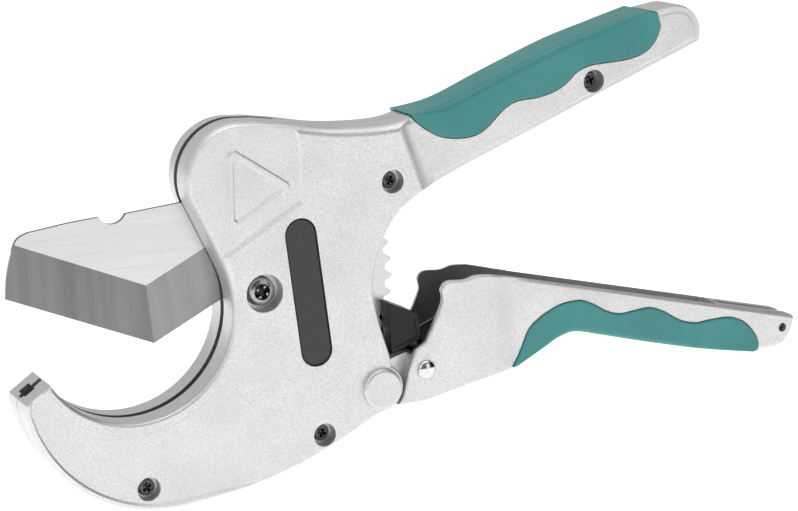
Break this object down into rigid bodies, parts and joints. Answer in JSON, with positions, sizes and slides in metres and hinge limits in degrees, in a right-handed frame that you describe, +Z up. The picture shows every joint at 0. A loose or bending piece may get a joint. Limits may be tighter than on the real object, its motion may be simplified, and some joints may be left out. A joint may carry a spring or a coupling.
{
  "type": "plastic pipe cutter",
  "caption": "Hand cutter for plastic pipe: a hooked jaw and a swinging pointed blade driven by a ratchet, squeezed by two long rubber-covered handles.",
  "frame": {"origin": "on the blade's pivot axis, on the outer face of the rear shell", "axes": "+X from the jaw towards the handles, +Y from the front face with the screws to the rear face, +Z up, with the upper handle above the lower one"},
  "size_m": [0.2862, 0.023, 0.1538],
  "materials": {
    "cast_aluminium": "satin cast",
    "brushed_steel": "brushed",
    "bright_steel": "bright plated",
    "black_oxide_steel": "black oxide",
    "black_pawl": "gloss black",
    "teal_rubber": "matt soft grip",
    "dark_badge": "matt",
    "brass": "turned"
  },
  "bodies": {
    "body": {"front_shell": "cast_aluminium", "rear_shell": "cast_aluminium", "upper_grip": "teal_rubber", "badge_plate": "dark_badge", "pivot_bush": "brass", "threaded_insert": "brass", "spring_washer": "brushed_steel", "pivot_screw": "bright_steel", "case_screw_1": "black_oxide_steel", "case_screw_2": "black_oxide_steel", "case_screw_3": "black_oxide_steel", "case_screw_4": "black_oxide_steel", "handle_bolt": "brushed_steel", "blade_spring": "brushed_steel", "handle_spring": "brushed_steel"},
    "cutting_blade": {"blade": "brushed_steel"},
    "squeezed_handle": {"lower_handle": "cast_aluminium", "lower_grip": "teal_rubber", "pawl_rivet": "bright_steel", "latch_pin": "black_oxide_steel"},
    "drive_pawl": {"pawl": "black_pawl", "pawl_spring": "brushed_steel"},
    "handle_lock": {"lock_latch": "brushed_steel"}
  },
  "joints": [
    {"name": "blade_swing", "type": "hinge", "parent": "body", "child": "cutting_blade", "pos_m": [0, -0.0105, 0], "axis": [0, -1, 0], "range_deg": [-63, 38], "deforming": ["blade_spring"]},
    {"name": "handle_squeeze", "type": "hinge", "parent": "body", "child": "squeezed_handle", "pos_m": [0.041, -0.0105, -0.0359], "axis": [0, -1, 0], "range_deg": [0, 36], "stiffness_Nm_per_rad": 0.5, "springref_deg": -11.46},
    {"name": "pawl_swing", "type": "hinge", "parent": "squeezed_handle", "child": "drive_pawl", "pos_m": [0.0573, -0.0105, -0.0312], "axis": [0, -1, 0], "range_deg": [-54, 0]},
    {"name": "latch_swing", "type": "hinge", "parent": "squeezed_handle", "child": "handle_lock", "pos_m": [0.1985, -0.0105, -0.0308], "axis": [0, 1, 0], "range_deg": [0, 100]}
  ],
  "couplings": [
    {"joint": "pawl_swing", "follows": "handle_squeeze", "ratio": -1.5}
  ]
}
